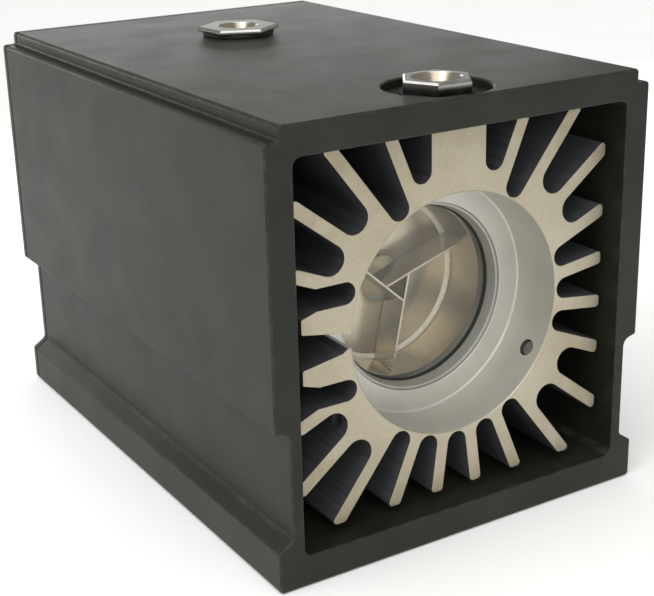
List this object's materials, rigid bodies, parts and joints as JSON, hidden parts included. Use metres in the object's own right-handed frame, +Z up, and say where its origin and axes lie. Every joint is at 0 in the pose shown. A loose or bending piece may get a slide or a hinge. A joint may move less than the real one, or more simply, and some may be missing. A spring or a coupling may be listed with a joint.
{
  "type": "grow lamp",
  "caption": "Grow lamp in a black extruded case: one light source deep in the bored centre of a radial-finned heat sink, cooled by a rear fan and hung from hexagonal sockets on top.",
  "frame": {"origin": "centre of the case's underside, on its middle plane from side to side, halfway along its length", "axes": "+Z up through the case's top with the hanging sockets, -Y out through the light's opening, +X to the right as seen by someone looking into the opening from the front"},
  "size_m": [0.1, 0.1511, 0.1043],
  "materials": {
    "black_anodised": "satin black anodised extrusion with a fine grain",
    "sink_aluminium": "bare extruded aluminium, fine-milled face, warm grey",
    "ring_aluminium": "satin turned grey",
    "nickel": "bright nickel plate",
    "steel": "zinc-plated steel, satin",
    "brass": "bare brass",
    "bronze_mirror": "polished, tinted olive-bronze",
    "rubber": "matt black",
    "black_plastic": "moulded black",
    "white_plastic": "moulded white",
    "ceramic": "white ceramic board",
    "phosphor": "yellow silicone over the light-emitting area",
    "red_insulation": "red wire insulation",
    "dark_insulation": "dark wire insulation",
    "copper_winding": "lacquered copper winding",
    "glass": "clear polished glass"
  },
  "bodies": {
    "lamp": {"housing": "black_anodised", "heat_sink": "sink_aluminium", "lens_retaining_ring": "ring_aluminium", "lens_seal": "rubber", "cover_glass": "glass", "reflector_cup": "bronze_mirror", "light_divider": "bronze_mirror", "led_holder": "white_plastic", "led_board": "ceramic", "led_emitter": "phosphor", "holder_screw_lower": "steel", "holder_screw_upper": "steel", "bore_grub_screw_right": "steel", "bore_grub_screw_left": "steel", "hanging_socket_front": "nickel", "hanging_socket_rear": "nickel", "socket_washer_front": "rubber", "socket_washer_rear": "rubber", "rear_cover": "black_anodised", "cover_screw_1": "steel", "cover_screw_2": "steel", "cover_screw_3": "steel", "cover_screw_4": "steel", "fan_frame": "black_plastic", "fan_bearing": "brass", "fan_stator": "copper_winding", "fan_guard": "steel", "fan_screw_1": "steel", "fan_screw_2": "steel", "fan_screw_3": "steel", "fan_screw_4": "steel", "fan_nut_1": "steel", "fan_nut_2": "steel", "fan_nut_3": "steel", "fan_nut_4": "steel", "power_socket_shell": "nickel", "power_socket_insert": "black_plastic", "power_socket_nut": "nickel", "power_socket_pin_1": "brass", "power_socket_pin_2": "brass", "power_socket_pin_3": "brass", "led_wire_positive": "red_insulation", "led_wire_negative": "dark_insulation", "fan_lead": "dark_insulation"},
    "rotor": {"fan_rotor": "black_plastic", "fan_shaft": "steel"}
  },
  "joints": [
    {"name": "fan_spin", "type": "hinge", "parent": "lamp", "child": "rotor", "pos_m": [0, 0.06085, 0.052], "axis": [0, 1, 0], "continuous": true}
  ]
}
